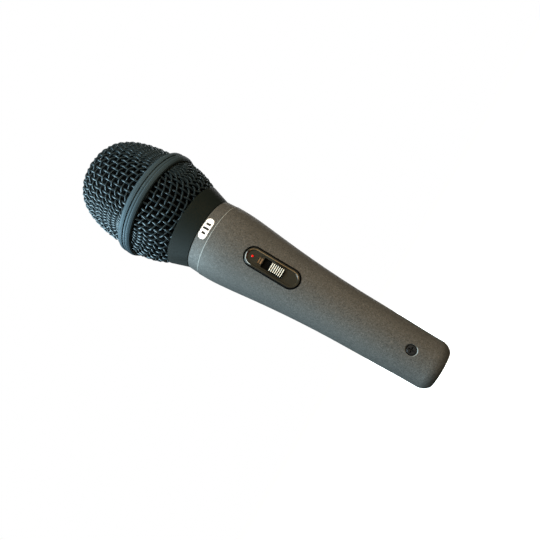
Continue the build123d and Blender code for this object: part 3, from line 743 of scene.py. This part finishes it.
def film_height(radius, turn):
    """The middle of the film: flat at the rim, then rising to the dome with fine radial folds."""
    slope_start = surround_rim - FLAT_RIM
    slope = min(1.0, max(0.0, (slope_start - radius) / (slope_start - surround_edge)))
    fold = CORRUGATION * math.sin(3 * SECTORS * turn) * math.sin(math.pi * slope)
    return rim_top + (surround_high.z - rim_top) * slope + fold - FILM / 2


def film_vertices(sector):
    """Rows of points from the rim in to the dome, each an upper and a lower one, column by column."""
    vertices = []
    for column in range(COLUMNS + 1):
        turn = math.tau * (sector + column / COLUMNS - 0.5) / SECTORS
        for row in range(ROWS + 1):
            radius = surround_rim + (surround_edge - surround_rim) * row / ROWS
            top = film_height(radius, turn)
            for height in (top, top - FILM):
                vertices.append((radius * math.cos(turn), radius * math.sin(turn), height))
    return vertices


def film_faces():
    """The upper and lower skins of one sector, and the four edges that close it."""
    line = 2 * (ROWS + 1)
    faces = []
    for near in range(0, COLUMNS * line, line):
        far = near + line
        for step in range(0, 2 * ROWS, 2):
            a, b = near + step, far + step
            faces.append((a, a + 2, b + 2, b))
            faces.append((a + 1, b + 1, b + 3, a + 3))
        inner = 2 * ROWS
        faces.append((near, far, far + 1, near + 1))
        faces.append((near + inner + 1, far + inner + 1, far + inner, near + inner))
    for side, order in ((0, 1), (COLUMNS * line, -1)):
        for near in range(side, side + 2 * ROWS, 2):
            faces.append((near, near + 1, near + 3, near + 2)[::order])
    return faces


def add_surround(sector):
    """One sector of the thin surround, flat at its rim and meeting the dome at its inner edge."""
    mesh = bpy.data.meshes.new("surround")
    mesh.from_pydata(film_vertices(sector), [], film_faces())
    mesh.materials.append(finishes["film_clear"])
    mesh.shade_smooth()
    piece = bpy.data.objects.new("surround_" + str(sector + 1), mesh)
    bpy.context.scene.collection.objects.link(piece)
    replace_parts(piece, "diaphragm_surround")
    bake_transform(piece)


for sector in range(SECTORS):
    add_surround(sector)


# ------------------------------------------------------------------ floor, light and camera


def lit_floor():
    """A white light table: it glows, and still takes a faint shadow."""
    material, tree, shader, coordinates = new_material("lit_floor")
    cloud = add_noise(tree, coordinates, 60 * MM, detail=2.0)
    tone = add_mix(tree, cloud, (0.90, 0.90, 0.90), (0.93, 0.93, 0.93))
    tree.links.new(tone, shader.inputs["Base Color"])
    shader.inputs["Roughness"].default_value = 0.9
    shader.inputs["Emission Color"].default_value = (1, 1, 1, 1)
    shader.inputs["Emission Strength"].default_value = 0.93
    return material


def add_floor():
    """A wide square under the tail. The object neither mirrors it nor is lit by it."""
    size = 6.0
    mesh = bpy.data.meshes.new("floor")
    corners = [(-size, -size, 0), (size, -size, 0), (size, size, 0), (-size, size, 0)]
    mesh.from_pydata(corners, [], [(0, 1, 2, 3)])
    mesh.materials.append(lit_floor())
    floor = bpy.data.objects.new("floor", mesh)
    bpy.context.scene.collection.objects.link(floor)
    floor.visible_diffuse = False
    floor.visible_glossy = False


def add_softbox(name, place, target, size, power, colour, glossy=True):
    """A soft light aimed at a point. One that isn't glossy lights paint but shows in no reflection."""
    light = bpy.data.lights.new(name, "AREA")
    light.shape = "RECTANGLE"
    light.size, light.size_y = size
    light.energy = power
    light.color = colour
    lamp = bpy.data.objects.new(name, light)
    lamp.location = place
    lamp.rotation_mode = "QUATERNION"
    lamp.rotation_quaternion = (Vector(target) - Vector(place)).to_track_quat("-Z", "Y")
    lamp.visible_glossy = glossy
    bpy.context.scene.collection.objects.link(lamp)


def add_world():
    """A white studio: the camera sees plain white, and the object is lit by a dim warm room."""
    world = bpy.data.worlds.new("studio")
    world.use_nodes = True
    tree = world.node_tree
    room = tree.nodes["Background"]
    room.inputs["Color"].default_value = (1.0, 0.91, 0.66, 1)
    room.inputs["Strength"].default_value = 0.10
    backdrop = tree.nodes.new("ShaderNodeBackground")
    backdrop.inputs["Color"].default_value = (1, 1, 1, 1)
    backdrop.inputs["Strength"].default_value = 1.0
    path = tree.nodes.new("ShaderNodeLightPath")
    mix = tree.nodes.new("ShaderNodeMixShader")
    tree.links.new(path.outputs["Is Camera Ray"], mix.inputs[0])
    tree.links.new(room.outputs[0], mix.inputs[1])
    tree.links.new(backdrop.outputs[0], mix.inputs[2])
    tree.links.new(mix.outputs[0], tree.nodes["World Output"].inputs["Surface"])
    bpy.context.scene.world = world


def add_camera():
    """The camera stands on the switch side, low and tipped up a little, and is rolled so that the
    microphone lies across the frame."""
    right = Vector((0.51685, 0.09806, -0.85044))
    forward = Vector((0.09874, 0.97996, 0.17300))
    up = right.cross(forward)
    camera = bpy.data.cameras.new("camera")
    camera.lens = 39.31
    camera.sensor_width = 36.0
    camera.clip_start = 0.01
    lens = bpy.data.objects.new("camera", camera)
    axes = Matrix((right, up, -forward)).transposed()
    lens.matrix_world = Matrix.Translation((-25.36 * MM, -253.73 * MM, 37.98 * MM)) @ axes.to_4x4()
    bpy.context.scene.collection.objects.link(lens)
    bpy.context.scene.camera = lens


add_floor()
add_world()
handle_middle = (0, 0, 0.09)
head_middle = (0, 0, 0.14)
SKY, WARM_WHITE, AMBER, NEUTRAL = (0.66, 0.90, 1.0), (1.0, 0.92, 0.76), (1.0, 0.56, 0.18), (0.95, 0.97, 1.0)
add_softbox("head_key", (-0.36, -0.22, 0.48), head_middle, (0.34, 0.34), 4.2, SKY)
add_softbox("left_key", (-0.46, 0.04, 0.42), head_middle, (0.34, 0.34), 4.2, SKY)
add_softbox("front_fill", (0.06, -0.50, 0.42), handle_middle, (0.4, 0.3), 6.0, WARM_WHITE, glossy=False)
add_softbox("warm_side", (0.36, -0.40, 0.06), handle_middle, (0.3, 0.5), 1.6, AMBER, glossy=False)
add_softbox("back_fill", (0.20, 0.55, 0.25), handle_middle, (0.5, 0.5), 1.6, NEUTRAL)
add_camera()
bpy.context.scene.view_settings.view_transform = "Standard"
